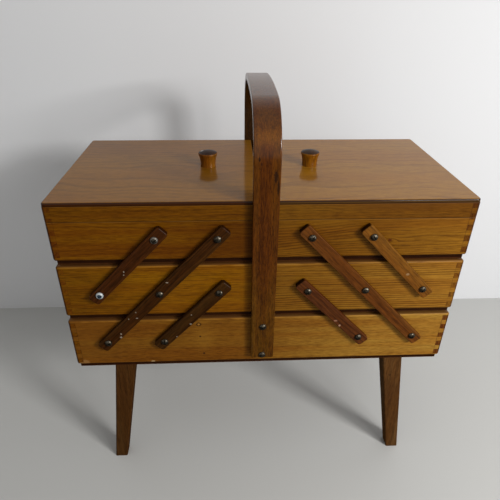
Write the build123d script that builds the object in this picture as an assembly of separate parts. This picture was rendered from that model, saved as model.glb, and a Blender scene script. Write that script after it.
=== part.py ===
from build123d import *
from math import asin, atan2, cos, degrees, hypot, radians, sin
import os

# Sewing carrier: a bottom box on four legs, two middle trays and two lidded top trays that swing
# out sideways on wooden arms, and one bent-wood handle over the middle.
# Lengths in millimetres, angles in degrees. X runs along the box, Y from front to back, Z up.
# The origin is on the floor, under the middle of the box.

# Boards and boxes
box_length = 440.0
box_depth = 209.5
board_thickness = 8.0
board_height = 64.9
top_board_height = 44.9
floor_thickness = 6.5
floor_inset = 3.0
floor_edge_radius = 2.0
corner_radius = 3.2
rim_radius = 2.6
seam_edge_radius = 0.5
tray_side_clearance = 0.5
middle_gap = 8.0
stack_gap = 0.3

# Finger joints
finger_pitch = 13.0
finger_width = 6.5
fingers_per_corner = 5
top_finger_start = 4.2

# Lids
lid_rim_height = 16.8
lid_panel_thickness = 4.0
lid_panel_corner_radius = 4.2
lid_panel_edge_radius = 1.9
lid_seam = 0.4

# Lid hinges, let into the outer ends with half of each knuckle proud
hinge_length = 30.0
hinge_offset_from_middle = 62.0
hinge_leaf_thickness = 0.9
hinge_leaf_reach = 6.5
hinge_knuckle_radius = 2.0
hinge_pin_radius = 0.9
hinge_pin_clearance = 0.1
hinge_running_gap = 0.3
hinge_recess_clearance = 0.2

# Knobs
knob_middle_distance = 60.0
knob_height = 18.5
knob_base_radius = 8.9
knob_waist_radius = 8.8
knob_waist_height = 4.5
knob_top_radius = 11.1
knob_shoulder_height = 14.8
knob_edge_radius = 1.6
knob_screw_depth = 12.0

# Legs
leg_height = 167.0
leg_top_width = 24.0
leg_top_depth = 22.0
leg_foot_width = 16.0
leg_foot_depth = 16.0
leg_end_inset = 55.0
leg_side_inset = 16.0
leg_side_splay = 25.0
leg_front_splay = 6.0
leg_edge_radius = 1.6
leg_screw_spacing = 11.0
leg_screw_depth = 26.0

# Handle
strap_width = 26.6
strap_thickness = 7.0
strap_foot_height = 9.6
strap_edge_radius = 1.3
strap_end_radius = 2.5
grip_height = 88.9
arch_corner_radius = 52.0
arch_crown_rise = 2.5
handle_screw_from_end = 5.0
handle_screw_spacing = 42.0

# Arms and their pivots
arm_width = 13.8
arm_thickness = 6.0
arm_gap = 0.3
arm_top_overhang = 13.5
arm_foot_overhang = 12.0
arm_corner_radius = 3.0
arm_edge_chamfer = 0.5
arm_hole_clearance = 0.3
pivot_inner_distance = 48.5
pivot_spacing = 64.0
pivot_height_on_bottom_board = 37.7
pivot_row_drop = 5.1

# Screws
screw_head_radius = 4.0
screw_head_height = 2.7
screw_head_rim = 0.5
screw_head_gap = 0.2
screw_shank_radius = 1.8
screw_bite = 7.0
pilot_clearance = 0.1
flat_head_radius = 4.0
flat_head_height = 2.2

# Modelling allowances
cut_overrun = 2.0
tolerance = 0.01

# Places worked out from the sizes above
half_length = box_length / 2
half_depth = box_depth / 2
tray_half_depth = half_depth - tray_side_clearance
tier_pitch = board_height + floor_thickness + stack_gap
bottom_board_level = leg_height + floor_thickness
middle_board_level = bottom_board_level + tier_pitch
top_board_level = middle_board_level + tier_pitch
top_rim_level = top_board_level + top_board_height
lid_rim_level = top_rim_level + lid_seam
lid_panel_level = lid_rim_level + lid_rim_height
lid_top_level = lid_panel_level + lid_panel_thickness
seam_level = (top_rim_level + lid_rim_level) / 2

pivot_rise = tier_pitch - pivot_row_drop
pivot_levels = [bottom_board_level + pivot_height_on_bottom_board + row * pivot_rise for row in range(3)]
pivot_distances = [pivot_inner_distance + column * pivot_spacing for column in range(3)]

arm_inner_face = half_depth + arm_gap
arm_outer_face = arm_inner_face + arm_thickness
hinge_distance = half_length


def block(x_low, x_high, y_low, y_high, z_low, z_high):
    size = (x_high - x_low, y_high - y_low, z_high - z_low)
    middle = ((x_high + x_low) / 2, (y_high + y_low) / 2, (z_high + z_low) / 2)
    return Pos(*middle) * Box(*size)


def one_piece(shape):
    # the single solid that a boolean leaves
    return shape.solids()[0]


# ---------------------------------------------------------------- finger-jointed frames

def finger_spans(first_finger, z_low, z_high):
    # heights at which an end board comes through to the face, for the part of the corner that
    # lies between z_low and z_high; the saw cut between a tray and its lid may pass through one
    lows = [first_finger + number * finger_pitch for number in range(fingers_per_corner)]
    spans = [(max(low, z_low), min(low + finger_width, z_high)) for low in lows]
    return [(low, high) for low, high in spans if low < high]


def spans_between(spans, z_low, z_high):
    edges = [z_low] + [edge for span in spans for edge in span] + [z_high]
    pairs = [(edges[i], edges[i + 1]) for i in range(0, len(edges), 2)]
    return [(low, high) for low, high in pairs if low < high]


def first_finger_level(z_low, z_high):
    # centres the fingers on the height of the corner
    fingers_height = (fingers_per_corner - 1) * finger_pitch + finger_width
    return (z_low + z_high - fingers_height) / 2


def eased_outline(x_low, x_high, half_width, z_low, z_high, lower_radius, upper_radius):
    # the outside of a finished frame, with its corners and rims rounded after glueing
    outline = block(x_low, x_high, -half_width, half_width, z_low, z_high)
    outline = fillet(outline.edges().filter_by(Axis.Z), corner_radius)
    outline = fillet(outline.faces().sort_by(Axis.Z)[0].edges(), lower_radius)
    return fillet(outline.faces().sort_by(Axis.Z)[-1].edges(), upper_radius)


def frame_boards(x_low, x_high, half_width, z_low, z_high, first_finger, lower_radius, upper_radius):
    # front, back, low-X end and high-X end boards, in that order
    fingers = finger_spans(first_finger, z_low, z_high)
    gaps = spans_between(fingers, z_low, z_high)
    inner_low, inner_high = x_low + board_thickness, x_high - board_thickness
    inner_half = half_width - board_thickness
    outline = eased_outline(x_low, x_high, half_width, z_low, z_high, lower_radius, upper_radius)

    side_gap_blocks = [block(low_x, high_x, -half_width, half_width, low, high)
                       for low, high in fingers
                       for low_x, high_x in ((x_low, inner_low), (inner_high, x_high))]
    sides = []
    for y_low, y_high in ((-half_width, -inner_half), (inner_half, half_width)):
        board = block(x_low, x_high, y_low, y_high, z_low, z_high) - side_gap_blocks
        sides.append(one_piece(board & outline))

    end_gap_blocks = [block(x_low, x_high, low_y, high_y, low, high)
                      for low, high in gaps
                      for low_y, high_y in ((-half_width, -inner_half), (inner_half, half_width))]
    ends = []
    for low_x, high_x in ((x_low, inner_low), (inner_high, x_high)):
        board = block(low_x, high_x, -half_width, half_width, z_low, z_high) - end_gap_blocks
        ends.append(one_piece(board & outline))
    return sides + ends


def floor_panel(x_low, x_high, half_width, z_top):
    panel = block(x_low + floor_inset, x_high - floor_inset, -half_width + floor_inset,
                  half_width - floor_inset, z_top - floor_thickness, z_top)
    return one_piece(fillet(panel.faces().sort_by(Axis.Z)[0].edges(), floor_edge_radius))


# ---------------------------------------------------------------- screws

def face_plane(x, level, side, distance):
    # a plane on the front (side -1) or back (side 1), facing outwards
    return Plane(origin=(x, side * distance, level), x_dir=(1, 0, 0), z_dir=(0, side, 0))


def dome_line(edge_radius, edge_level, top_level):
    # from the edge of a dome up to its middle, as part of a circle centred on the axis
    rise = top_level - edge_level
    radius = (edge_radius ** 2 + rise ** 2) / (2 * rise)
    half_turn = asin(edge_radius / radius) / 2
    half_way = (radius * sin(half_turn), top_level - radius * (1 - cos(half_turn)))
    return ThreePointArc((edge_radius, edge_level), half_way, (0, top_level))


def round_head_screw(shank_length):
    # the shank runs down from the origin and the domed head stands on it
    outline = Polyline((0, -shank_length), (screw_shank_radius, -shank_length), (screw_shank_radius, 0),
                       (screw_head_radius, 0), (screw_head_radius, screw_head_rim))
    dome = dome_line(screw_head_radius, screw_head_rim, screw_head_height)
    closing = Line((0, screw_head_height), (0, -shank_length))
    return one_piece(revolve(Plane.XZ * make_face(outline + dome + closing), Axis.Z))


def flat_head_screw(shank_length):
    # countersunk: the head's top is level with the origin
    outline = Polyline((0, 0), (flat_head_radius, 0), (screw_shank_radius, -flat_head_height),
                       (screw_shank_radius, -shank_length), (0, -shank_length), (0, 0))
    return one_piece(revolve(Plane.XZ * make_face(outline), Axis.Z))


def countersink(depth):
    outline = Polyline((0, 0), (flat_head_radius + pilot_clearance, 0),
                       (screw_shank_radius + pilot_clearance, -flat_head_height),
                       (screw_shank_radius + pilot_clearance, -depth - pilot_clearance),
                       (0, -depth - pilot_clearance), (0, 0))
    return one_piece(revolve(Plane.XZ * make_face(outline), Axis.Z))


def pilot_hole(plane, depth):
    radius = screw_shank_radius + pilot_clearance
    reach = depth + pilot_clearance
    return plane * (Pos(0, 0, -reach / 2) * Cylinder(radius, reach))


def pivot_screws(row, columns, signs, board_face):
    # one screw through each arm end, front and back, bitten into the board behind it
    head_seat = arm_outer_face + screw_head_gap
    shank = head_seat - board_face + screw_bite
    screw = round_head_screw(shank)
    return [face_plane(sign * pivot_distances[column], pivot_levels[row], side, head_seat) * screw
            for sign in signs for side in (-1, 1) for column in columns]


def drilled(board, side, row, columns, signs, board_face):
    holes = [pilot_hole(face_plane(sign * pivot_distances[column], pivot_levels[row], side, board_face),
                        screw_bite)
             for sign in signs for column in columns]
    return one_piece(board - holes)


# ---------------------------------------------------------------- legs and bottom box

def leg(sign, side):
    top_middle = (sign * (half_length - leg_end_inset), side * (half_depth - leg_side_inset))
    foot_middle = (top_middle[0] + sign * leg_side_splay, top_middle[1] + side * leg_front_splay)
    foot = Plane(origin=(*foot_middle, 0)) * Rectangle(leg_foot_width, leg_foot_depth)
    top = Plane(origin=(*top_middle, leg_height)) * Rectangle(leg_top_width, leg_top_depth)
    post = loft([foot, top])
    long_edges = [edge for edge in post.edges() if edge.length > leg_height / 2]
    return one_piece(fillet(long_edges, leg_edge_radius))


def leg_screw_planes(sign, side):
    x_middle = sign * (half_length - leg_end_inset)
    y_middle = side * (half_depth - leg_side_inset)
    return [Plane(origin=(x_middle + step * leg_screw_spacing / 2, y_middle, bottom_board_level))
            for step in (-1, 1)]


def bottom_box():
    pieces = {}
    corners = [(sign, side) for sign in (-1, 1) for side in (-1, 1)]
    screw_planes = [plane for sign, side in corners for plane in leg_screw_planes(sign, side)]

    front, back, left, right = frame_boards(
        -half_length, half_length, half_depth, bottom_board_level, bottom_board_level + board_height,
        first_finger_level(bottom_board_level, bottom_board_level + board_height), rim_radius, rim_radius)
    handle_holes = {side: [pilot_hole(plane, screw_bite) for plane in handle_screw_planes(side, half_depth)]
                    for side in (-1, 1)}
    front = drilled(front, -1, 0, (1, 2), (-1, 1), half_depth)
    back = drilled(back, 1, 0, (1, 2), (-1, 1), half_depth)
    pieces["bottom_front_board"] = one_piece(front - handle_holes[-1])
    pieces["bottom_back_board"] = one_piece(back - handle_holes[1])
    pieces["bottom_left_board"] = left
    pieces["bottom_right_board"] = right

    panel = floor_panel(-half_length, half_length, half_depth, bottom_board_level)
    pieces["bottom_floor"] = one_piece(panel - [plane * countersink(leg_screw_depth) for plane in screw_planes])
    pieces["leg_screws"] = [plane * flat_head_screw(leg_screw_depth) for plane in screw_planes]

    for sign, side in corners:
        name = f"leg_{'front' if side < 0 else 'back'}_{'left' if sign < 0 else 'right'}"
        holes = [plane * countersink(leg_screw_depth) for plane in leg_screw_planes(sign, side)]
        pieces[name] = one_piece(leg(sign, side) - holes)
    return pieces


# ---------------------------------------------------------------- handle

def strap_line(inset):
    # half-round of the strap's outer line, moved inwards by inset: a straight side, a tight corner
    # and a nearly flat crown that run into each other
    half_span = half_depth + strap_thickness
    rise = arch_corner_radius + arch_crown_rise
    reach = half_span - arch_corner_radius
    crown_radius = (rise ** 2 + reach ** 2 - arch_corner_radius ** 2) / (2 * arch_crown_rise)
    crown_turn = degrees(atan2(reach, crown_radius - rise))
    crown_level = lid_top_level + grip_height + strap_thickness
    foot_level = bottom_board_level + strap_foot_height
    start = (-half_span + inset, foot_level)
    spring = (-half_span + inset, crown_level - rise)
    side_line = Line(start, spring)
    corner = JernArc(spring, (0, 1), arch_corner_radius - inset, crown_turn - 90)
    crown = JernArc(corner @ 1, corner % 1, crown_radius - inset, -2 * crown_turn)
    far_corner = JernArc(crown @ 1, crown % 1, arch_corner_radius - inset, crown_turn - 90)
    far_side = Line(far_corner @ 1, (half_span - inset, foot_level))
    return [side_line, corner, crown, far_corner, far_side]


def handle_screw_planes(side, distance):
    low = bottom_board_level + strap_foot_height + handle_screw_from_end
    return [face_plane(0, level, side, distance) for level in (low, low + handle_screw_spacing)]


def handle():
    outer, inner = strap_line(0), strap_line(strap_thickness)
    ends = [Line(outer[0] @ 0, inner[0] @ 0), Line(outer[-1] @ 1, inner[-1] @ 1)]
    section = make_face(Curve() + outer + inner + ends)
    strap = extrude(Plane.YZ * section, strap_width / 2, both=True)
    foot_level = bottom_board_level + strap_foot_height
    foot_corners = [edge for edge in strap.edges().filter_by(Axis.Y) if abs(edge.center().Z - foot_level) < tolerance]
    strap = fillet(foot_corners, strap_end_radius)
    long_edges = [edge for edge in strap.edges()
                  if abs((edge @ 0.5).Z - foot_level) > strap_end_radius
                  and abs((edge @ 0.5).X) > strap_width / 2 - tolerance]
    strap = fillet(long_edges, strap_edge_radius)
    holes = [pilot_hole(plane, strap_thickness) for side in (-1, 1)
             for plane in handle_screw_planes(side, half_depth + strap_thickness)]
    return one_piece(strap - holes)


def handle_screws():
    seat = half_depth + strap_thickness
    screw = round_head_screw(strap_thickness + screw_bite)
    return [plane * screw for side in (-1, 1) for plane in handle_screw_planes(side, seat)]


# ---------------------------------------------------------------- trays and lids of the right half

def tray(level, height, row, columns, first_finger, upper_radius):
    x_low, x_high = middle_gap / 2, half_length
    front, back, inner, outer = frame_boards(x_low, x_high, tray_half_depth, level, level + height,
                                             first_finger, rim_radius, upper_radius)
    return {
        "front_board": drilled(front, -1, row, columns, (1,), tray_half_depth),
        "back_board": drilled(back, 1, row, columns, (1,), tray_half_depth),
        "inner_board": inner,
        "outer_board": outer,
        "floor": floor_panel(x_low, x_high, tray_half_depth, level),
        "pivot_screws": pivot_screws(row, columns, (1,), tray_half_depth),
    }


def hinge_middles():
    return [side * hinge_offset_from_middle for side in (-1, 1)]


def knuckle_length():
    return (hinge_length - 2 * hinge_running_gap) / 3


def hinge_recesses(up):
    # what is cut from the boards for the leaf and the knuckles of each hinge
    edge_level = lid_rim_level if up > 0 else top_rim_level
    recess_end = hinge_distance - hinge_leaf_reach - hinge_recess_clearance
    half = hinge_length / 2 + hinge_recess_clearance
    recesses = []
    for middle in hinge_middles():
        low, high = sorted((edge_level, edge_level + up * hinge_leaf_thickness))
        recesses.append(block(recess_end, half_length, middle - half, middle + half, low, high))
        groove = Cylinder(hinge_knuckle_radius + hinge_recess_clearance, 2 * half, rotation=(90, 0, 0))
        recesses.append(Pos(hinge_distance, middle, seam_level) * groove)
    return recesses


def hinge_leaf(middle, up):
    # a leaf in its recess, with its knuckles: the lid's in the middle, the tray's on both sides
    edge_level = lid_rim_level if up > 0 else top_rim_level
    low, high = sorted((edge_level, edge_level + up * hinge_leaf_thickness))
    step = knuckle_length() + hinge_running_gap
    knuckle_middles = [middle] if up > 0 else [middle - step, middle + step]
    neck_x = hinge_distance - hinge_knuckle_radius - hinge_running_gap
    leaf = block(hinge_distance - hinge_leaf_reach, neck_x, middle - hinge_length / 2, middle + hinge_length / 2,
                 low, high)
    half = knuckle_length() / 2
    for place in knuckle_middles:
        leaf += block(neck_x, hinge_distance, place - half, place + half, low, high)
        barrel = Cylinder(hinge_knuckle_radius, knuckle_length(), rotation=(90, 0, 0))
        leaf += Pos(hinge_distance, place, seam_level) * barrel
    bore = Cylinder(hinge_pin_radius + hinge_pin_clearance, hinge_length + 2 * cut_overrun, rotation=(90, 0, 0))
    return one_piece(leaf - Pos(hinge_distance, middle, seam_level) * bore)


def hinge_pin(middle):
    pin = Cylinder(hinge_pin_radius, hinge_length, rotation=(90, 0, 0))
    return one_piece(Pos(hinge_distance, middle, seam_level) * pin)


def knob():
    # turned: sides that widen from the foot to the shoulder, a rounded lip and a low dome
    shoulder = knob_top_radius - knob_edge_radius
    lip_step = knob_edge_radius * cos(radians(45))
    foot = Line((0, 0), (knob_base_radius, 0))
    flare = Spline((knob_base_radius, 0), (knob_waist_radius, knob_waist_height),
                   (knob_top_radius, knob_shoulder_height))
    lip = ThreePointArc((knob_top_radius, knob_shoulder_height),
                        (shoulder + lip_step, knob_shoulder_height + lip_step),
                        (shoulder, knob_shoulder_height + knob_edge_radius))
    dome = dome_line(shoulder, knob_shoulder_height + knob_edge_radius, knob_height)
    closing = Line((0, knob_height), (0, 0))
    return one_piece(revolve(Plane.XZ * make_face(Curve() + [foot, flare, lip, dome, closing]), Axis.Z))


def lid():
    x_low, x_high = middle_gap / 2, half_length
    front, back, inner, outer = frame_boards(x_low, x_high, tray_half_depth, lid_rim_level, lid_panel_level,
                                             top_board_level + top_finger_start, seam_edge_radius, seam_edge_radius)
    panel = block(x_low, x_high, -tray_half_depth, tray_half_depth, lid_panel_level, lid_top_level)
    panel = fillet(panel.edges().filter_by(Axis.Z).sort_by(Axis.X)[:2], corner_radius)
    panel = fillet(panel.edges().filter_by(Axis.Z).sort_by(Axis.X)[-2:], lid_panel_corner_radius)
    panel = fillet(panel.faces().sort_by(Axis.Z)[-1].edges(), lid_panel_edge_radius)
    foot = Plane(origin=(knob_middle_distance, 0, lid_top_level))
    screw_seat = Plane(origin=(knob_middle_distance, 0, lid_panel_level), x_dir=(1, 0, 0), z_dir=(0, 0, -1))
    screw_length = lid_panel_thickness + knob_screw_depth
    hole = screw_seat * countersink(screw_length)
    return {
        "lid_panel": one_piece(panel - hole),
        "lid_side_rails": [front, back],
        "lid_end_rails": [inner, one_piece(outer - hinge_recesses(1))],
        "lid_knob": one_piece(foot * knob() - hole),
        "lid_knob_screw": screw_seat * flat_head_screw(screw_length),
    }


# ---------------------------------------------------------------- arms

def arm(low_column, low_row, high_column, high_row, side):
    # from the pivot low_column, low_row up to the pivot high_column, high_row, drilled at each
    # pivot that it passes
    low = (pivot_distances[low_column], pivot_levels[low_row])
    high = (pivot_distances[high_column], pivot_levels[high_row])
    run, rise = high[0] - low[0], high[1] - low[1]
    length = hypot(run, rise)
    plane = Plane(origin=(low[0], side * arm_inner_face, low[1]), x_dir=(run / length, 0, rise / length),
                  z_dir=(0, side, 0))
    full_length = length + arm_foot_overhang + arm_top_overhang
    middle = (length + arm_top_overhang - arm_foot_overhang) / 2
    blank = extrude(plane * (Pos(middle, 0) * RectangleRounded(full_length, arm_width, arm_corner_radius)),
                    arm_thickness)
    outer_face = blank.faces().sort_by(Axis.Y)[-1 if side > 0 else 0]
    blank = chamfer(outer_face.edges(), arm_edge_chamfer)
    steps = high_row - low_row
    hole = Cylinder(screw_shank_radius + arm_hole_clearance, 2 * (arm_thickness + cut_overrun))
    holes = [plane * (Pos(length * step / steps, 0, 0) * hole) for step in range(steps + 1)]
    return one_piece(blank - holes)


def arm_pair(low_column, low_row, high_column, high_row):
    return [arm(low_column, low_row, high_column, high_row, side) for side in (-1, 1)]


def right_half():
    pieces = {}
    middle_level_top = middle_board_level + board_height
    middle = tray(middle_board_level, board_height, 1, (0, 1, 2),
                  first_finger_level(middle_board_level, middle_level_top), rim_radius)
    top = tray(top_board_level, top_board_height, 2, (0, 1), top_board_level + top_finger_start,
               seam_edge_radius)
    top["outer_board"] = one_piece(top["outer_board"] - hinge_recesses(-1))
    pieces.update({f"middle_{name}": piece for name, piece in middle.items()})
    pieces.update({f"top_{name}": piece for name, piece in top.items()})
    pieces.update(lid())
    pieces["hinge_tray_leaves"] = [hinge_leaf(middle, -1) for middle in hinge_middles()]
    pieces["hinge_lid_leaves"] = [hinge_leaf(middle, 1) for middle in hinge_middles()]
    pieces["hinge_pins"] = [hinge_pin(middle) for middle in hinge_middles()]
    pieces["long_arms"] = arm_pair(2, 0, 0, 2)
    pieces["lower_arms"] = arm_pair(1, 0, 0, 1)
    pieces["upper_arms"] = arm_pair(2, 1, 1, 2)
    return pieces


# ---------------------------------------------------------------- the whole carrier

def all_pieces():
    pieces = bottom_box()
    pieces["carrying_handle"] = handle()
    pieces["handle_screws"] = handle_screws()
    pieces["base_pivot_screws"] = pivot_screws(0, (1, 2), (-1, 1), half_depth)
    for name, piece in right_half().items():
        solids = piece if isinstance(piece, list) else [piece]
        pieces[f"right_{name}"] = solids
        pieces[f"left_{name}"] = [one_piece(mirror(solid, Plane.YZ)) for solid in solids]
    return pieces


os.makedirs("parts", exist_ok=True)
for node, piece in all_pieces().items():
    solids = piece if isinstance(piece, list) else [piece]
    export_step(Compound(solids) if len(solids) > 1 else solids[0], f"parts/{node}.step")
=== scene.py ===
from math import pi, radians

import bpy
from mathutils import Matrix, Vector


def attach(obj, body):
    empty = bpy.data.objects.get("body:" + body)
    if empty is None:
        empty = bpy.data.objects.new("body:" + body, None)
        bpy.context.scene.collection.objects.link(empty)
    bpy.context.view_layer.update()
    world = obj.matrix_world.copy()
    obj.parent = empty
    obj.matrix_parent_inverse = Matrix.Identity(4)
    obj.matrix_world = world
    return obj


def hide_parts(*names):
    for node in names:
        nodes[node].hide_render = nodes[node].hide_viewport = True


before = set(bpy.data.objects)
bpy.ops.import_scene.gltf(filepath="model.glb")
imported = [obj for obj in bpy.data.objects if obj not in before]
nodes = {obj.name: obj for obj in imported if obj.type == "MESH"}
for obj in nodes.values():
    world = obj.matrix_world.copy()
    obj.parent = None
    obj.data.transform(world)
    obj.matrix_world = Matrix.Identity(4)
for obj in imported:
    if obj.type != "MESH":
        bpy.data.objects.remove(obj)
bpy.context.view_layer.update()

bpy.context.scene.view_settings.view_transform = "Standard"
print("frame loaded:", len(nodes), "nodes")


def millimetres(*values):
    return tuple(value / 1000 for value in values)


def linear(red, green, blue):
    # 0 to 255 as a colour picker shows it, to the values that a shader takes
    shares = [value / 255 for value in (red, green, blue)]
    return tuple(s / 12.92 if s <= 0.04045 else ((s + 0.055) / 1.055) ** 2.4 for s in shares)


# camera: it stands in front, a little left of the middle, and looks down on the lids
cameraLook = {
    "place": millimetres(-37.76, -521.99, 569.37),
    "turn": -3.092,
    "tilt": -30.043,
    "lean": -0.66,
    "lens": 33.186,
    "sensor": 36.0,
    "clip": 0.01,
}


def makeCamera(look):
    bpy.ops.object.camera_add()
    camera = bpy.context.object
    camera.name = "camera"
    camera.data.lens = look["lens"]
    camera.data.sensor_width = look["sensor"]
    camera.data.clip_start = look["clip"]
    turned = (Matrix.Rotation(radians(look["turn"]), 4, "Z")
              @ Matrix.Rotation(radians(look["tilt"]), 4, "X")
              @ Matrix.Rotation(radians(look["lean"]), 4, "Y")
              @ Matrix.Rotation(radians(90), 4, "X"))
    camera.matrix_world = Matrix.Translation(look["place"]) @ turned
    bpy.context.scene.camera = camera


makeCamera(cameraLook)
print("camera placed")


# shader helpers: every material is built from these, and all patterns are measured in mm
class Shader:
    def __init__(self, name):
        self.material = bpy.data.materials.new(name)
        self.material.use_nodes = True
        self.tree = self.material.node_tree
        self.tree.nodes.clear()
        self.output = self.add("ShaderNodeOutputMaterial")
        self.source = self.add("ShaderNodeTexCoord")
        self.place = self.vector("MULTIPLY", self.source.outputs["Object"], (1000, 1000, 1000))
        self.facing = self.source.outputs["Normal"]

    def add(self, kind, inputs=None, **settings):
        node = self.tree.nodes.new(kind)
        for setting, value in settings.items():
            setattr(node, setting, value)
        for socket, value in (inputs or {}).items():
            self.feed(node.inputs[socket], value)
        return node

    def feed(self, socket, value):
        if isinstance(value, bpy.types.NodeSocket):
            self.tree.links.new(value, socket)
        else:
            socket.default_value = value

    def maths(self, operation, first, second=0.0, third=0.0, clamp=False):
        node = self.add("ShaderNodeMath", {0: first, 1: second, 2: third},
                        operation=operation, use_clamp=clamp)
        return node.outputs[0]

    def vector(self, operation, first, second=(0, 0, 0)):
        node = self.add("ShaderNodeVectorMath", {0: first, 1: second}, operation=operation)
        return node.outputs["Value" if operation in ("LENGTH", "DOT_PRODUCT") else "Vector"]

    def parts(self, vector):
        node = self.add("ShaderNodeSeparateXYZ", {0: vector})
        return node.outputs[0], node.outputs[1], node.outputs[2]

    def joined(self, x, y, z):
        return self.add("ShaderNodeCombineXYZ", {0: x, 1: y, 2: z}).outputs[0]

    def noise(self, grain, length, width, detail=2.0):
        # spots about length mm long and width mm across
        scaled = self.vector("MULTIPLY", grain, (1 / length, 1 / width, 1 / width))
        node = self.add("ShaderNodeTexNoise", {"Vector": scaled, "Scale": 1.0, "Detail": detail})
        return node.outputs["Fac"]

    def spread(self, value, low, high, newLow=0.0, newHigh=1.0):
        node = self.add("ShaderNodeMapRange", {"Value": value, "From Min": low, "From Max": high,
                                               "To Min": newLow, "To Max": newHigh},
                        interpolation_type="SMOOTHSTEP")
        return node.outputs["Result"]

    def between(self, value, low, high, soft):
        # 1 from low to high, 0 outside
        return self.maths("MULTIPLY", self.spread(value, low - soft, low),
                          self.spread(value, high + soft, high))

    def times(self, *values):
        product = values[0]
        for value in values[1:]:
            product = self.maths("MULTIPLY", product, value)
        return product

    def mixed(self, amount, first, second, blend="MIX"):
        node = self.add("ShaderNodeMix", data_type="RGBA", blend_type=blend)
        for socket, value in ((0, amount), (6, first), (7, second)):
            if isinstance(value, tuple) and len(value) == 3:
                value = (*value, 1.0)
            self.feed(node.inputs[socket], value)
        return node.outputs[2]

    def finish(self, surface):
        self.tree.links.new(surface, self.output.inputs["Surface"])
        return self.material


# wood: rings round the middle of the tree, cut by the board's face, with streaks, fibres and pores
# along X
plainWood = {
    "turn": (0, 0, 0),              # degrees, brings the grain along X
    "shift": (0, 60, -80),          # mm, from the middle of the tree
    "ringGap": 4.0,
    "ringDepth": 0.5,
    "ringEdge": (0.3, 0.9),         # where in its gap a ring darkens
    "ringEnd": (1.0, 0.93),         # and where it stops
    "ringBreaks": (260, 8),         # mm long and wide, where rings grow faint
    "wander": 5.0,                  # mm, how far the rings sway
    "wanderLength": 150.0,
    "wanderWidth": 22.0,
    "streaks": (70.0, 2.4, 0.22),   # mm long, mm wide, and how dark
    "fibres": (12.0, 1.1, 0.42),
    "streakEdge": (0.34, 0.66),     # how hard the edges of streaks and fibres are
    "pores": (6.0, 0.5, 0.3),
    "poreEdge": (0.56, 0.72),
    "bands": (280.0, 15.0, 0.55),
    "bandEdge": (0.38, 0.62),
    "light": (140, 97, 22),
    "dark": (92, 56, 9),
    "bandTint": (222, 186, 130),
    "endTint": (216, 188, 170),
    "turnedFace": (0.6, 0.9),       # how far a face turns to count as end grain or as the inside
    "inside": None,                 # the way that the bare inner face looks
    "bareLight": (176, 134, 84),
    "bareDark": (140, 98, 56),
    "roughness": 0.45,
    "specular": 0.08,
    "coat": 0.05,
    "coatRoughness": 0.22,
    "bump": 0.2,
    "bumpDepth": 0.0002,            # metres
    "rims": False,                  # rounded edges: lighter where they turn up, partly wear and partly painted highlight; darker on ledges, dust and painted shade; darker where they face down, painted shade; darker on upright corners
    "rimDepth": 0.35,
    "edge": None,                   # colour of a thin sheet's edge
    "layer": None,                  # and of the layer in its middle
    "layerLevels": (380.4, 381.1),  # mm, from the bottom to the top of that layer
    "layerSoft": 0.25,
    "sheetTurn": (0.96, 0.8),       # how far a face turns from level to count as the edge
    "tintRamp": None,                   # mm, from the paler end to the darker end, and the tint there; on the front boards it is painted shade of the lamp's falloff and of the strap, on the floors painted shade of the gap
    "tintRampAxis": 0,                  # 0 along X, 2 up Z
    "fingers": None,                # mm, level of the lowest finger joint
    "fingerDepth": 0.35,
    "knots": [],
    "marks": [],
}
plainMark = {"soft": 0.4, "ragged": 0.6, "grit": 1.2, "edge": 1.3, "amount": 0.9}


def grainOf(shader, look):
    mapping = shader.add("ShaderNodeMapping", {"Vector": shader.place, "Location": look["shift"],
                                               "Rotation": tuple(radians(a) for a in look["turn"])})
    return mapping.outputs["Vector"]


def woodTone(shader, look, grain):
    # 0 for the light wood and 1 for the dark wood
    wander = shader.noise(grain, look["wanderLength"], look["wanderWidth"], 1.5)
    wander = shader.maths("MULTIPLY_ADD", wander, 2 * look["wander"], -look["wander"])
    radius = shader.vector("LENGTH", shader.vector("MULTIPLY", grain, (0, 1, 1)))
    radius = shader.maths("ADD", radius, wander)
    for knot in look["knots"]:
        away = shader.vector("SUBTRACT", shader.place, knot["at"])
        away = shader.vector("LENGTH", shader.vector("DIVIDE", away, knot["size"]))
        radius = shader.maths("ADD", radius, shader.spread(away, 1.0, 0.0, 0.0, knot["push"]))
    ring = shader.maths("FRACT", shader.maths("DIVIDE", radius, look["ringGap"]))
    low, high = look["ringEdge"]
    faint = shader.spread(shader.noise(grain, *look["ringBreaks"], 1.0), 0.3, 0.65, 0.2, 1.0)
    tone = shader.times(shader.spread(ring, low, high), shader.spread(ring, *look["ringEnd"]),
                        faint, look["ringDepth"])
    for length, width, depth in (look["streaks"], look["fibres"]):
        streaks = shader.spread(shader.noise(grain, length, width), *look["streakEdge"], 0.0, depth)
        tone = shader.maths("ADD", tone, streaks)
    length, width, depth = look["pores"]
    pores = shader.spread(shader.noise(grain, length, width, 1.0), *look["poreEdge"], 0.0, depth)
    return shader.maths("ADD", tone, pores)


def spot(shader, mark):
    # 1 inside the mark, 0 away from it, with a ragged edge
    away = shader.vector("SUBTRACT", shader.place, mark["at"])
    away = shader.vector("LENGTH", shader.vector("DIVIDE", away, mark["size"]))
    uneven = shader.noise(shader.place, mark["grit"], mark["grit"], 1.0)
    reach = shader.maths("MULTIPLY_ADD", uneven, mark["ragged"], away)
    edge, half = mark["edge"], mark["soft"] / 2
    return shader.spread(reach, edge + half, edge - half, 0.0, mark["amount"])


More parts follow.
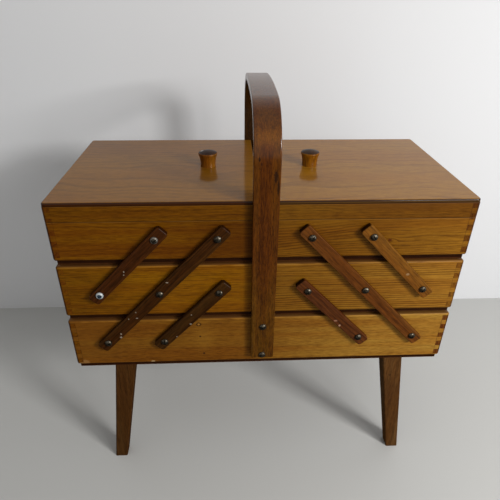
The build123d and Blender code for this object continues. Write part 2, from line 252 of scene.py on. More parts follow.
# rounded rims and corners: a colour for each, and how far the surface turns there, up or to a corner
rimLook = {
    # lighter where a rim turns up: partly wear, partly painted highlight
    "worn": (168, 122, 48),
    "wearAndHighlightFrom": (0.08, 0.3),
    "wearAndHighlightTo": (0.85, 0.6),
    # darker on the level ledges: dust and painted shade
    "dustAndShadeLedge": (86, 56, 30),
    "dustAndShadeLedgeTurn": (0.66, 0.9),
    # darker where a rim faces down: painted shade
    "paintedShadeUnder": (52, 28, 10),
    "paintedShadeUnderTurn": (-0.25, -0.75),
    "levelDepth": 0.8,
    # darker on the rounded upright corners
    "corner": (54, 30, 14),
    "cornerTurn": (0.08, 0.3),
    "cornerDepth": 0.85,
}


def rimWearHighlightAndShade(shader, look, colour):
    rim = rimLook
    sideways, across, up = shader.parts(shader.facing)
    uneven = shader.spread(shader.noise(shader.place, 26, 5), 0.34, 0.6, 0.15, 1.0)
    # lighter where the rim turns up: wear and painted highlight
    worn = shader.times(shader.spread(up, *rim["wearAndHighlightFrom"]), shader.spread(up, *rim["wearAndHighlightTo"]),
                        uneven, look["rimDepth"])
    colour = shader.mixed(worn, colour, linear(*rim["worn"]))
    # darker on ledges, dust and painted shade, and where rims face down, painted shade
    for level in ("dustAndShadeLedge", "paintedShadeUnder"):
        amount = shader.spread(up, *rim[f"{level}Turn"], 0.0, rim["levelDepth"])
        colour = shader.mixed(amount, colour, linear(*rim[level]))
    corner = shader.maths("ABSOLUTE", shader.maths("MULTIPLY", sideways, across))
    corner = shader.times(shader.spread(corner, *rim["cornerTurn"], 0.0, rim["cornerDepth"]),
                          shader.spread(shader.noise(shader.place, 7, 7), 0.3, 0.6, 0.3, 1.0))
    return shader.mixed(corner, colour, linear(*rim["corner"]))


# finger joints at the corners, in mm
jointLook = {
    "width": 6.5,
    "count": 9,
    "rootX": 212.0,         # from the middle to the roots of the fingers
    "rootY": 96.5,
    "rootEdge": (-0.8, -0.2),
    "lineEdge": (0.5, 0.15),
    "margin": 0.3,
    "soft": 0.2,
    "line": (44, 22, 10),
}


def fingerLines(shader, look, colour):
    # dark lines round each finger of the corner joints
    x, y, z = shader.parts(shader.place)
    x, y = shader.maths("ABSOLUTE", x), shader.maths("ABSOLUTE", y)
    first, finger = look["fingers"], jointLook
    level = shader.maths("PINGPONG", shader.maths("SUBTRACT", z, first), finger["width"] / 2)
    lines = shader.spread(level, *finger["lineEdge"])
    for place, root in ((x, finger["rootX"]), (y, finger["rootY"])):
        away = shader.maths("ABSOLUTE", shader.maths("SUBTRACT", place, root))
        lines = shader.maths("MAXIMUM", lines, shader.spread(away, *finger["lineEdge"]))
    low, high = first - finger["margin"], first + finger["count"] * finger["width"] + finger["margin"]
    start, end = finger["rootEdge"]
    corner = shader.times(shader.spread(x, finger["rootX"] + start, finger["rootX"] + end),
                          shader.spread(y, finger["rootY"] + start, finger["rootY"] + end),
                          shader.between(z, low, high, finger["soft"]))
    uneven = shader.spread(shader.noise(shader.place, 5, 5), 0.3, 0.6, 0.35, 1.0)
    amount = shader.times(lines, corner, uneven, look["fingerDepth"])
    return shader.mixed(amount, colour, linear(*finger["line"]))


def plyEdge(shader, look, colour):
    # the edge of the sheet shows its layers: dark, a thin light one, dark
    up = shader.maths("ABSOLUTE", shader.parts(shader.facing)[2])
    level = shader.parts(shader.place)[2]
    layer = shader.between(level, *look["layerLevels"], look["layerSoft"])
    layers = shader.mixed(layer, linear(*look["edge"]), linear(*look["layer"]))
    return shader.mixed(shader.spread(up, *look["sheetTurn"]), colour, layers)


def woodSurface(shader, look, grain, facing=None):
    tone = woodTone(shader, look, grain)
    shade = shader.maths("MINIMUM", tone, 1.0)
    colour = shader.mixed(shade, linear(*look["light"]), linear(*look["dark"]))
    length, width, depth = look["bands"]
    band = shader.spread(shader.noise(grain, length, width, 1.5), *look["bandEdge"], 0.0, depth)
    colour = shader.mixed(band, colour, linear(*look["bandTint"]), "MULTIPLY")
    # a tint that grows along one axis: painted shade on the front boards and the floors, a darker, redder
    # top on the handle
    if look["tintRamp"]:
        pale, deep, tint = look["tintRamp"]
        amount = shader.spread(shader.parts(shader.place)[look["tintRampAxis"]], pale, deep)
        colour = shader.mixed(amount, colour, linear(*tint), "MULTIPLY")
    if facing is not None:      # stain sinks into end grain and darkens it
        tinted = shader.mixed(1.0, colour, linear(*look["endTint"]), "MULTIPLY")
        colour = shader.mixed(shader.spread(facing, *look["turnedFace"]), colour, tinted)
    if look["rims"]:
        colour = rimWearHighlightAndShade(shader, look, colour)
    if look["fingers"]:
        colour = fingerLines(shader, look, colour)
    if look["edge"]:
        colour = plyEdge(shader, look, colour)
    if look["inside"]:
        bare = shader.mixed(shade, linear(*look["bareLight"]), linear(*look["bareDark"]))
        inner = shader.vector("DOT_PRODUCT", shader.facing, look["inside"])
        colour = shader.mixed(shader.spread(inner, *look["turnedFace"]), colour, bare)
    for mark in look["marks"]:
        mark = dict(plainMark, **mark)
        colour = shader.mixed(spot(shader, mark), colour, linear(*mark["colour"]))
    bump = shader.add("ShaderNodeBump", {"Height": tone, "Strength": look["bump"],
                                         "Distance": look["bumpDepth"]})
    bump.invert = True
    surface = shader.add("ShaderNodeBsdfPrincipled", {
        "Base Color": colour,
        "Roughness": look["roughness"],
        "Specular IOR Level": look["specular"],
        "Coat Weight": look["coat"],
        "Coat Roughness": look["coatRoughness"],
        "Normal": bump.outputs["Normal"],
    })
    return shader.finish(surface.outputs[0])


def wood(name, look):
    shader = Shader(name)
    axis = Matrix.Identity(3)
    for turn, letter in zip(look["turn"], "XYZ"):
        axis = Matrix.Rotation(radians(turn), 3, letter) @ axis
    axis = tuple(axis.inverted() @ Vector((1, 0, 0)))
    facing = shader.maths("ABSOLUTE", shader.vector("DOT_PRODUCT", shader.facing, axis))
    return woodSurface(shader, look, grainOf(shader, look), facing)


def dress(node, material):
    slots = nodes[node].data.materials
    slots.clear()
    slots.append(material)


# boards of the boxes; every board is cut from its own place in the tree
longBoard = dict(plainWood, rims=True)
endBoard = dict(longBoard, turn=(0, 0, 90))
figured = {"ringDepth": 0.7, "ringEdge": (0.45, 0.8), "fibres": (12.0, 1.1, 0.28)}
bottomFingers, middleFingers, topFingers = 176.7, 248.4, 321.1
boardFace = -104.7      # mm, the front of the boards
nail = {"size": (1.3, 3, 1.3), "colour": (46, 24, 10)}
# the boards on the left are given darker colours than those on the right: partly their own tone, partly
# painted shade of the side that gets less of the lamp's light
boards = {
    "bottom_front_board": dict(
        longBoard, shift=(0, 60, -120), ringDepth=0.2, streaks=(40.0, 2.0, 0.2), fibres=(8.0, 1.0, 0.45),
        # its tint along X darkens it towards the left: painted shade of the lamp's falloff
        light=(170, 128, 48), dark=(115, 77, 23), tintRamp=(222, -60, (194, 172, 126)),
        fingers=bottomFingers, fingerDepth=0.6, marks=[
            {"at": (-69, boardFace, 211), "size": (11, 5, 22), "colour": (158, 112, 34), "soft": 2.4,
             "amount": 0.3, "ragged": 1.4},
            dict(nail, at=(-73.2, boardFace, 230.2), size=(3.0, 3, 2.7), amount=0.75),
            {"at": (-73.2, boardFace, 230.2), "size": (1.4, 3, 1.3), "colour": (150, 104, 40)},
            {"at": (-205, boardFace, 205), "size": (36, 5, 40), "colour": (118, 76, 20), "soft": 2.0,
             "amount": 0.3},
            dict(nail, at=(-72.2, boardFace, 212.2), size=(1.1, 3, 1.2)),
            dict(nail, at=(-68.6, boardFace, 186.2)),
            {"at": (-130, -104, 175.6), "size": (2.6, 4, 0.9), "colour": (190, 160, 110)},
            {"at": (-211, -104, 177), "size": (6, 8, 3.6), "colour": (150, 110, 62), "amount": 0.6},
        ]),
    "bottom_back_board": dict(longBoard, shift=(90, -60, -150), inside=(0, -1, 0), fingers=bottomFingers),
    "left_middle_front_board": dict(
        longBoard, shift=(60, 50, -40), ringGap=2.6, ringDepth=0.34, bands=(280.0, 15.0, 0.45),
        # its tint along X darkens its left end: painted shade of the lamp's falloff
        light=(138, 90, 0), dark=(89, 52, 0), tintRamp=(-100, -215, (224, 222, 230)),
        fingers=middleFingers, fingerDepth=0.2),
    "right_middle_front_board": dict(
        longBoard, **figured, shift=(-40, 60, -130), ringGap=2.8, wander=4.0, wanderLength=110.0,
        bands=(280.0, 15.0, 0.35), light=(160, 113, 35), dark=(104, 66, 15),
        # its tint along X darkens it towards the middle: painted shade of the lamp's falloff
        tintRamp=(230, 10, (210, 204, 170)), fingers=middleFingers),
    "left_top_front_board": dict(
        longBoard, shift=(10, 80, -240), ringGap=5.0, ringDepth=0.35, light=(119, 74, 0),
        # its tint along X darkens it towards the strap: painted shade of the strap
        dark=(81, 42, 0), tintRamp=(-140, -20, (219, 214, 206)), fingers=topFingers, fingerDepth=0.2),
    "right_top_front_board": dict(
        longBoard, **figured, turn=(0, 3, 0), shift=(10, 84, -410), ringGap=3.2, wander=12.0,
        wanderLength=170.0, bands=(280.0, 15.0, 0.4), light=(141, 95, 20), dark=(92, 55, 7),
        # its tint along X darkens it towards the middle: painted shade of the lamp's falloff
        tintRamp=(230, 60, (218, 212, 176)), fingers=topFingers, fingerDepth=0.6,
        knots=[{"at": (132.2, boardFace, 337.1), "size": (12, 12, 6), "push": 4.0}],
        marks=[{"at": (132.2, boardFace, 337.1), "size": (2.0, 3, 1.2), "colour": (74, 28, 10)}]),
    "left_lid_side_rails": dict(
        longBoard, shift=(60, 80, -320), ringGap=5.0, ringDepth=0.4, light=(110, 67, 0),
        dark=(69, 37, 0), fingers=topFingers, fingerDepth=0.2),
    "right_lid_side_rails": dict(
        longBoard, shift=(40, 90, -420), ringGap=3.0, ringDepth=0.25, light=(118, 78, 12),
        dark=(76, 45, 4), fingers=topFingers, fingerDepth=0.5, marks=[
            # a dark band along the top of the rail, just below the edge of the lid panel: painted shade
            {"at": (130, boardFace, 378), "size": (70, 5, 5), "colour": (92, 54, 12), "soft": 1.4,
             "amount": 0.6}]),
    "left_middle_back_board": dict(longBoard, shift=(20, -60, -90)),
    "right_middle_back_board": dict(longBoard, shift=(90, -50, -80)),
    "left_top_back_board": dict(longBoard, shift=(30, -90, -250)),
    "right_top_back_board": dict(longBoard, shift=(-30, -70, -280)),
    "bottom_left_board": dict(
        endBoard, shift=(20, 170, -90), light=(128, 84, 0), dark=(83, 48, 0), inside=(1, 0, 0),
        fingers=bottomFingers, endTint=(238, 224, 214)),
    "bottom_right_board": dict(
        endBoard, shift=(80, 190, -140), light=(160, 112, 36), dark=(104, 64, 15), inside=(-1, 0, 0),
        fingers=bottomFingers, fingerDepth=0.6, endTint=(186, 158, 146)),
    "left_middle_inner_board": dict(endBoard, shift=(10, 60, -190)),
    "left_middle_outer_board": dict(
        endBoard, shift=(40, 160, -210), light=(128, 84, 0), dark=(83, 48, 0),
        endTint=(232, 215, 205), fingerDepth=0.2),
    "right_middle_inner_board": dict(endBoard, shift=(70, 60, -170)),
    "right_middle_outer_board": dict(
        endBoard, shift=(30, 180, -200), light=(164, 120, 38), dark=(104, 66, 15),
        endTint=(206, 190, 178)),
    "left_top_inner_board": dict(endBoard, shift=(10, 60, -290)),
    "left_top_outer_board": dict(
        endBoard, shift=(90, 150, -250), light=(119, 74, 0), dark=(81, 42, 0),
        endTint=(228, 210, 200), fingerDepth=0.2),
    "right_top_inner_board": dict(endBoard, shift=(20, 70, -260)),
    "right_top_outer_board": dict(
        endBoard, shift=(50, 140, -300), light=(134, 92, 16), dark=(92, 54, 5),
        endTint=(204, 182, 168)),
    "left_lid_end_rails": dict(
        endBoard, shift=(60, 90, -310), light=(110, 67, 0), dark=(69, 37, 0),
        endTint=(228, 210, 200), fingerDepth=0.2),
    "right_lid_end_rails": dict(
        endBoard, shift=(30, 100, -330), light=(122, 81, 13), dark=(78, 46, 4),
        endTint=(198, 174, 160)),
}
# what the names of the boards say: which way the bare face looks, and where the finger joints start
bareFaces = {"front": (0, 1, 0), "back": (0, -1, 0), "left_outer": (1, 0, 0), "right_outer": (-1, 0, 0),
             "left_inner": (-1, 0, 0), "right_inner": (1, 0, 0)}
jointLevels = {"bottom": bottomFingers, "middle": middleFingers, "top": topFingers, "lid": topFingers}
for node, look in boards.items():
    words = node.split("_")
    if not look["inside"] and "lid" not in words:
        look["inside"] = bareFaces.get(words[-2]) or bareFaces[f"{words[0]}_{words[-2]}"]
    if not look["fingers"] and "inner" not in words:
        look["fingers"] = next(level for word, level in jointLevels.items() if word in words)
    dress(node, wood(node, look))
print("boards finished:", len(boards))

# lids: thin varnished plywood with a flat figure and a glossy coat
lidPanel = dict(
    plainWood, shift=(0, 30, -330), ringGap=7.0, ringDepth=0.42, ringEdge=(0.5, 0.9), wander=16.0,
    wanderLength=140.0, wanderWidth=60.0, streaks=(36.0, 7.0, 0.12), fibres=(9.0, 2.0, 0.3),
    bands=(300.0, 60.0, 0.35), light=(157, 108, 24), dark=(112, 71, 12), bandTint=(232, 206, 176),
    endTint=(255, 255, 255), coat=0.5, coatRoughness=0.1, roughness=0.45, specular=0.05, bump=0.05)
lids = {
    "left_lid_panel": dict(
        lidPanel, light=(139, 93, 16), dark=(100, 62, 8), edge=(48, 22, 6), layer=(58, 28, 4)),
    "right_lid_panel": dict(lidPanel, shift=(90, 40, -300), edge=(48, 26, 12), layer=(80, 56, 18)),
}
for node, look in lids.items():
    dress(node, wood(node, look))
print("lids finished")

# floors: edges that show between the boxes, dark brown, partly stain and partly painted shade of the gap,
# with the upper part of each edge darker still as painted shade, and bare tops
floorLook = dict(plainWood, light=(88, 52, 24), dark=(54, 29, 12), ringDepth=0.2, inside=(0, 0, 1),
                 bareLight=(158, 116, 68), bareDark=(122, 84, 46), tintRampAxis=2)
floorLevels = {"bottom_floor": 167.0, "left_middle_floor": 238.7, "right_middle_floor": 238.7,
               "left_top_floor": 310.4, "right_top_floor": 310.4}
for number, (node, level) in enumerate(floorLevels.items()):
    dress(node, wood(node, dict(floorLook, shift=(70 * number, 40, -100 - 20 * number),
                                tintRamp=(level + 1.2, level + 2.8, (150, 140, 128)))))
print("floors finished")

# legs, with the grain standing up
legLook = dict(plainWood, turn=(0, 90, 0), light=(98, 64, 32), dark=(56, 33, 14), ringGap=7.0,
               ringDepth=0.18, wander=2.0, specular=0.04, coat=0.02)
legFace = -103          # mm, about the front of the legs
legLooks = {
    "leg_front_left": {"light": (84, 56, 26), "dark": (48, 29, 11), "marks": [
        {"at": (-166.4, legFace, 85.2), "size": (1.0, 4, 3.4), "colour": (176, 146, 108)}]},
    "leg_front_right": {"light": (100, 69, 36), "dark": (58, 37, 17), "marks": [
        {"at": (167, legFace, 108), "size": (16, 5, 22), "colour": (58, 34, 18), "soft": 2.0,
         "amount": 0.55, "ragged": 1.4},
        {"at": (166, legFace, 137), "size": (2, 4, 2), "colour": (44, 24, 12), "amount": 0.6},
        {"at": (173, legFace, 88), "size": (2, 4, 7), "colour": (52, 26, 14), "amount": 0.5}]},
}
for number, node in enumerate(("leg_front_left", "leg_front_right", "leg_back_left", "leg_back_right")):
    dress(node, wood(node, dict(legLook, shift=(0, 90 - 40 * number, 60), **legLooks.get(node, {}))))

# handle, a bent strip: the grain follows it up, over and down again
handleFace = -111.7     # mm, the front of the strap
handleLook = dict(
    plainWood, shift=(0, 0, 60), light=(106, 67, 4), dark=(58, 33, 0), ringGap=6.0, ringDepth=0.16,
    wander=6.0, wanderWidth=9.0, streaks=(26.0, 1.6, 0.34), fibres=(7.0, 0.8, 0.5),
    pores=(3.4, 0.55, 0.45), bands=(200.0, 12.0, 0.6), tintRampAxis=2, tintRamp=(220, 330, (243, 216, 180)),
    endTint=(150, 172, 200), coat=0.88, coatRoughness=0.22, specular=0.04, bendLevel=424.4,
    bendRadius=100.0, marks=[
        {"at": (-7.6, handleFace, 428.2), "size": (0.9, 4, 2.2), "colour": (30, 15, 5)},
        {"at": (-5.6, handleFace, 423.6), "size": (0.8, 4, 1.6), "colour": (40, 20, 8), "amount": 0.7},
        {"at": (0, -95, 464), "size": (14, 12, 7), "colour": (66, 38, 14), "soft": 1.5, "amount": 0.35},
        {"at": (0, -100, 447), "size": (11, 16, 6), "colour": (150, 92, 6), "soft": 2.2,
         "amount": 0.38, "ragged": 1.2},
        {"at": (-9.3, 3.3, 477.5), "size": (1.6, 2.6, 2), "colour": (50, 42, 34), "amount": 0.8},
        {"at": (8.6, handleFace, 411), "size": (2.4, 5, 9), "colour": (36, 18, 6), "ragged": 1.2},
        {"at": (11.2, handleFace, 400), "size": (1.5, 5, 9), "colour": (38, 20, 6), "ragged": 1.0},
    ])


def bentWood(name, look):
    shader = Shader(name)
    x, y, z = shader.parts(shader.place)
    above = shader.maths("MAXIMUM", shader.maths("SUBTRACT", z, look["bendLevel"]), 0.0)
    turned = shader.maths("ARCTAN2", above, shader.maths("MULTIPLY", y, -1.0))
    along = shader.maths("MULTIPLY_ADD", turned, look["bendRadius"],
                         shader.maths("MINIMUM", z, look["bendLevel"]))
    deep = shader.vector("LENGTH", shader.joined(y, above, 0.0))
    grain = shader.vector("ADD", shader.joined(along, x, deep), look["shift"])
    inward = shader.joined(0.0, shader.maths("MULTIPLY", y, -1.0), shader.maths("MULTIPLY", above, -1.0))
    inward = shader.vector("NORMALIZE", inward)
    # the face inside the bend takes the end-grain tint, darker and less red
    return woodSurface(shader, look, grain, shader.vector("DOT_PRODUCT", shader.facing, inward))


dress("carrying_handle", bentWood("carrying_handle", handleLook))

# arms, cut along the slope they lie at
armFace = -111          # mm, the front of the arms
armTilt = 46.14
# the ends of the right arms are darkened further as painted shade
shadyEnds = (100, 86, 78)
fleck = {"size": (0.7, 3, 0.7), "colour": (150, 138, 122), "amount": 0.75}
armLook = dict(plainWood, light=(66, 39, 8), dark=(38, 21, 3), ringGap=5.0, ringDepth=0.3,
               streaks=(40.0, 1.8, 0.4), endTint=(190, 172, 160), coat=0.1, specular=0.08)
armLooks = {
    "left_long_arms": dict(armLook, light=(71, 40, 8), marks=[
        dict(fleck, at=(-103.7, armFace, 292.7), size=(1.4, 3, 0.7)),
        dict(fleck, at=(-141, armFace, 253.9)),
        dict(fleck, at=(-140.4, armFace, 245.9), size=(1.2, 3, 0.7)),
        dict(fleck, at=(-149.7, armFace, 244.9)),
        dict(fleck, at=(-160.7, armFace, 223.8), size=(0.9, 3, 1.2)),
        dict(fleck, at=(-161.3, armFace, 219), size=(1.3, 3, 1.3))]),
    "left_upper_arms": dict(armLook, light=(78, 43, 12), dark=(46, 24, 5), marks=[
        dict(fleck, at=(-147.4, armFace, 307.1), size=(0.7, 3, 1.0)),
        dict(fleck, at=(-147.9, armFace, 303.2))]),
    "left_lower_arms": dict(armLook, marks=[
        dict(fleck, at=(-80.1, armFace, 248.8)),
        dict(fleck, at=(-81.5, armFace, 236), size=(1.3, 3, 0.8)),
        dict(fleck, at=(-98.3, armFace, 218.2))]),
    "right_long_arms": dict(armLook, endTint=shadyEnds, light=(114, 68, 22), dark=(68, 38, 10)),
    "right_upper_arms": dict(armLook, endTint=shadyEnds, light=(134, 88, 26), dark=(84, 52, 13), marks=[
        {"at": (156.2, armFace, 297.7), "size": (2, 3, 1.4), "colour": (140, 110, 76)}]),
    "right_lower_arms": dict(armLook, endTint=shadyEnds, light=(94, 50, 18), dark=(56, 27, 10), marks=[
        {"at": (83.4, armFace, 236), "size": (2.6, 3, 1.4), "colour": (140, 100, 78), "ragged": 1.2},
        {"at": (88.8, armFace, 229), "size": (1.2, 3, 1.4), "colour": (160, 124, 100)}]),
}
for number, (node, look) in enumerate(armLooks.items()):
    tilt = armTilt if node.startswith("left") else -armTilt
    dress(node, wood(node, dict(look, turn=(0, tilt, 0), shift=(30 * number, 80, 50))))

# knobs: turned; their tops take a darker tint
knobLook = dict(plainWood, turn=(0, 90, 0), shift=(0, 40, 30), ringDepth=0.15, streaks=(30.0, 3.0, 0.35),
                light=(136, 85, 15), dark=(85, 49, 8), endTint=(112, 104, 104), coat=0.2)
knobLooks = {
    "left_lid_knob": dict(knobLook, marks=[
        {"at": (-67.5, 2, 401.5), "size": (2.5, 3, 2), "colour": (180, 170, 160)}]),
    "right_lid_knob": dict(knobLook, light=(150, 101, 17), dark=(95, 58, 9)),
}
for node, look in knobLooks.items():
    dress(node, wood(node, look))
print("woodwork finished")


# metal: dull, with darker patches; rings of matte colour may lie round a screw's axis, where a pale one
# is a painted reflection standing in for the shine of lighter metal
screwLook = {"light": (118, 112, 100), "dark": (58, 52, 43), "roughness": 0.46, "patch": 1.4}
brassLook = {"light": (190, 150, 80), "dark": (130, 96, 46), "roughness": 0.35, "patch": 1.4}
ringLook = {"soft": 0.3, "dulling": -0.75, "frontOnly": (0.0, -50.0)}


def metal(name, look, rings=()):
    shader = Shader(name)
    worn = shader.noise(shader.place, look["patch"], look["patch"], 3.0)
    colour = shader.mixed(shader.spread(worn, 0.35, 0.65), linear(*look["light"]), linear(*look["dark"]))
    shine = 1.0
    for ring in rings:
        away = shader.vector("MULTIPLY", shader.vector("SUBTRACT", shader.place, ring["at"]), (1, 0, 1))
        near = shader.between(shader.vector("LENGTH", away), ring["from"], ring["to"], ringLook["soft"])
        front = shader.spread(shader.parts(shader.place)[1], *ringLook["frontOnly"])
        near = shader.times(near, front, ring["amount"])
        colour = shader.mixed(near, colour, linear(*ring["colour"]))
        # the rings lose their metal shine, so that their painted colours show in place of reflections
        shine = shader.maths("MULTIPLY_ADD", near, ringLook["dulling"], shine, clamp=True)
    surface = shader.add("ShaderNodeBsdfPrincipled", {
        "Base Color": colour, "Metallic": shine, "Roughness": look["roughness"]})
    return shader.finish(surface.outputs[0])


screwSteel = metal("screw_steel", screwLook)
hingeBrass = metal("hinge_brass", brassLook)
for node in nodes:
    if "screw" in node:
        dress(node, screwSteel)
    elif "hinge" in node:
        dress(node, hingeBrass)

# screws with round slotted heads, in place of the plain ones
screwShape = {
    "radius": 4.0,
    "height": 2.7,
    "rim": 0.5,
    "slotWidth": 1.1,
    "slotDepth": 1.2,
    "shankRadius": 1.8,
    "shankLength": 13.5,
    "edge": 0.12,
}
screwMesh = {
    "turns": 32,
    "rings": 16,
    "bevelAngle": 38,
    "smoothAngle": 35,
}
slotTurn = 67           # degrees from one slot to the next
armSeat, handleSeat = 111.25, 111.75     # mm from the middle to the undersides of the heads
near, middle, far = 48.5, 112.5, 176.5
low, centre, high = 211.2, 277.8, 344.4
screwSets = {
    "base_pivot_screws": ("base", armSeat, [(far, low), (middle, low), (-far, low), (-middle, low)]),
    "left_middle_pivot_screws": ("left_middle_tray", armSeat,
                                 [(-near, centre), (-middle, centre), (-far, centre)]),
    "right_middle_pivot_screws": ("right_middle_tray", armSeat,
                                  [(near, centre), (middle, centre), (far, centre)]),
    "left_top_pivot_screws": ("left_top_tray", armSeat, [(-near, high), (-middle, high)]),
    "right_top_pivot_screws": ("right_top_tray", armSeat, [(near, high), (middle, high)]),
    "handle_screws": ("base", handleSeat, [(0, 188.1), (0, 230.1)]),
}
ringsWithPaintedReflection = {
    "left_middle_pivot_screws": [
        # a pale ring given as matte colour, a painted reflection, round a dark bluish middle
        {"at": (-far, 0, centre), "from": 2.6, "to": 4.3, "amount": 1.0, "colour": (186, 193, 196)},
        {"at": (-far, 0, centre), "from": -1.0, "to": 2.3, "amount": 1.0, "colour": (44, 60, 76)}],
    "left_top_pivot_screws": [
        # a fainter pale ring given as matte colour: painted reflection
        {"at": (-middle, 0, high), "from": 2.9, "to": 4.3, "amount": 0.4, "colour": (150, 146, 140)}],
}


def deselectAll():
    if bpy.context.object and bpy.context.object.mode != "OBJECT":
        bpy.ops.object.mode_set(mode="OBJECT")
    bpy.ops.object.select_all(action="DESELECT")


def editFaces(piece, wanted):
    # edit mode, with only the wanted faces selected
    bpy.ops.object.mode_set(mode="EDIT")
    bpy.ops.mesh.select_mode(type="FACE")
    bpy.ops.mesh.select_all(action="DESELECT")
    bpy.ops.object.mode_set(mode="OBJECT")
    for face in piece.data.polygons:
        face.select = wanted(face)
    bpy.ops.object.mode_set(mode="EDIT")


def makeScrew(shape, mesh):
    # half a ball is flattened to a dome; its underside grows a rim and a shank; a box cuts the slot
    size = {key: value / 1000 for key, value in shape.items()}
    deselectAll()
    bpy.ops.mesh.primitive_uv_sphere_add(segments=mesh["turns"], ring_count=mesh["rings"],
                                         radius=size["radius"])
    screw = bpy.context.object
    bpy.ops.object.mode_set(mode="EDIT")
    bpy.ops.mesh.select_all(action="SELECT")
    bpy.ops.mesh.bisect(plane_co=(0, 0, 0), plane_no=(0, 0, 1), use_fill=True, clear_inner=True)
    bpy.ops.mesh.select_all(action="SELECT")
    bpy.ops.transform.resize(value=(1, 1, (size["height"] - size["rim"]) / size["radius"]))
    bpy.ops.object.mode_set(mode="OBJECT")
    lowest = min(vertex.co.z for vertex in screw.data.vertices)     # the flat underside
    editFaces(screw, lambda face: face.normal.z < -0.9 and face.center.z < lowest + 1e-5)
    bpy.ops.mesh.extrude_region_move(TRANSFORM_OT_translate={"value": (0, 0, -size["rim"])})
    bpy.ops.mesh.inset(thickness=size["radius"] - size["shankRadius"])
    bpy.ops.mesh.extrude_region_move(TRANSFORM_OT_translate={"value": (0, 0, -size["shankLength"])})
    bpy.ops.mesh.select_all(action="SELECT")
    bpy.ops.transform.translate(value=(0, 0, size["rim"] - lowest))
    bpy.ops.mesh.normals_make_consistent(inside=False)
    deselectAll()

    bpy.ops.mesh.primitive_cube_add(size=1, location=(0, 0, size["height"] + size["slotDepth"] / 2))
    cutter = bpy.context.object
    cutter.scale = (3 * size["radius"], size["slotWidth"], 3 * size["slotDepth"])
    bpy.ops.object.transform_apply(location=True, rotation=True, scale=True)
    deselectAll()
    screw.select_set(True)
    bpy.context.view_layer.objects.active = screw
    slot = screw.modifiers.new("slot", "BOOLEAN")
    slot.operation = "DIFFERENCE"
    slot.object = cutter
    bpy.ops.object.modifier_apply(modifier=slot.name)
    bpy.data.objects.remove(cutter)
    edges = screw.modifiers.new("edges", "BEVEL")
    edges.width = size["edge"]
    edges.segments = 2
    edges.limit_method = "ANGLE"
    edges.angle_limit = radians(mesh["bevelAngle"])
    bpy.ops.object.modifier_apply(modifier=edges.name)
    bpy.ops.object.shade_smooth_by_angle(angle=radians(mesh["smoothAngle"]))
    return screw


def placeScrews(pattern, node, body, seat, places, number):
    copies = []
    for side in (-1, 1):
        for x, z in places:
            copy = pattern.copy()
            copy.data = pattern.data.copy()
            bpy.context.collection.objects.link(copy)
            number += 1
            copy.matrix_world = (Matrix.Translation(millimetres(x, side * seat, z))
                                 @ Matrix.Rotation(radians(-90 * side), 4, "X")
                                 @ Matrix.Rotation(radians(slotTurn * number % 180), 4, "Z"))
            copies.append(copy)
    deselectAll()
    for copy in copies:
        copy.select_set(True)
    bpy.context.view_layer.objects.active = copies[0]
    bpy.ops.object.join()
    bpy.ops.object.transform_apply(location=True, rotation=True, scale=True)
    piece = bpy.context.object
    piece.name = node.replace("screws", "slotted_screws")
    piece.data.materials.clear()
    piece.data.materials.append(metal(piece.name, screwLook, ringsWithPaintedReflection.get(node, ())))
    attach(piece, body)
    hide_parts(node)
    return number


screwPattern = makeScrew(screwShape, screwMesh)
count = 0
for node, (body, seat, places) in screwSets.items():
    count = placeScrews(screwPattern, node, body, seat, places, count)
bpy.data.objects.remove(screwPattern)
print("screws placed:", count)

# the room: a pale floor and a pale wall behind; the floor hardly shows in the varnish
roomLook = {
    "wallPlace": 0.243,
    "floorColour": (196, 197, 196),
    "wallColour": (227, 229, 233),
    "floorGloss": 0.06,         # how much of its colour the varnish mirrors
    "floorSize": 8.0,
    "wallSize": 4.0,
}


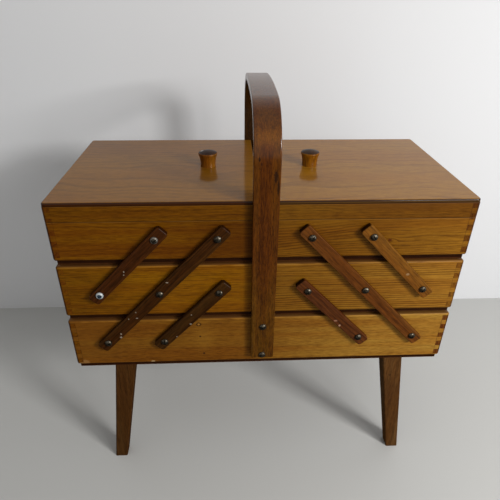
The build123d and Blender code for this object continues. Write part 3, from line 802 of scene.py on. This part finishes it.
def makeRoom(look):
    bpy.ops.mesh.primitive_plane_add(size=look["floorSize"])
    floor = bpy.context.object
    floor.name = "room_floor"
    bpy.ops.mesh.primitive_plane_add(size=look["wallSize"], rotation=(pi / 2, 0, 0),
                                     location=(0, look["wallPlace"], look["wallSize"] / 2))
    wall = bpy.context.object
    wall.name = "room_wall"

    shader = Shader("room_floor")
    path = shader.add("ShaderNodeLightPath")
    pale = linear(*look["floorColour"])
    mirrored = tuple(value * look["floorGloss"] for value in pale)
    colour = shader.mixed(path.outputs["Is Glossy Ray"], pale, mirrored)
    paint = shader.add("ShaderNodeBsdfDiffuse", {"Color": colour})
    floor.data.materials.append(shader.finish(paint.outputs[0]))

    shader = Shader("room_wall")
    paint = shader.add("ShaderNodeBsdfDiffuse", {"Color": (*linear(*look["wallColour"]), 1)})
    clear = shader.add("ShaderNodeBsdfTransparent")
    side = shader.add("ShaderNodeNewGeometry")
    both = shader.add("ShaderNodeMixShader", {0: side.outputs["Backfacing"], 1: paint.outputs[0],
                                              2: clear.outputs[0]})
    wall.data.materials.append(shader.finish(both.outputs[0]))


makeRoom(roomLook)

# light: a small lamp near the front right corner, a softer one beside it, and the pale room all round
lamps = {
    "lamp": {"place": (0.91, -0.89, 0.80), "size": 0.25, "power": 11.2},
    "soft_lamp": {"place": (0.62, -0.92, 0.80), "size": 0.34, "power": 3.3},
}
lightLook = {
    "aim": (0.0, 0.0, 0.25),
    "colour": (1.0, 0.98, 0.95),
    "roomColour": (1.0, 0.975, 0.93),
    "roomDim": 0.4,             # what lights the object
    "roomBright": 0.85,         # what the camera sees
}


def makeLight(name, lampLook, look):
    bpy.ops.object.light_add(type="AREA", location=lampLook["place"])
    lamp = bpy.context.object
    lamp.name = name
    lamp.data.size = lampLook["size"]
    lamp.data.energy = lampLook["power"]
    lamp.data.color = look["colour"]
    towards = Vector(look["aim"]) - Vector(lampLook["place"])
    lamp.rotation_euler = towards.to_track_quat("-Z", "Y").to_euler()
    lamp.visible_camera = False


def makeWorld(look):
    world = bpy.data.worlds.new("room")
    bpy.context.scene.world = world
    world.use_nodes = True
    tree = world.node_tree
    sky = tree.nodes["Background"]
    sky.inputs["Color"].default_value = (*look["roomColour"], 1)
    path = tree.nodes.new("ShaderNodeLightPath")
    strength = tree.nodes.new("ShaderNodeMapRange")
    strength.inputs["To Min"].default_value = look["roomDim"]
    strength.inputs["To Max"].default_value = look["roomBright"]
    tree.links.new(path.outputs["Is Camera Ray"], strength.inputs["Value"])
    tree.links.new(strength.outputs[0], sky.inputs["Strength"])


for name, lampLook in lamps.items():
    makeLight(name, lampLook, lightLook)
makeWorld(lightLook)
print("room and light ready")
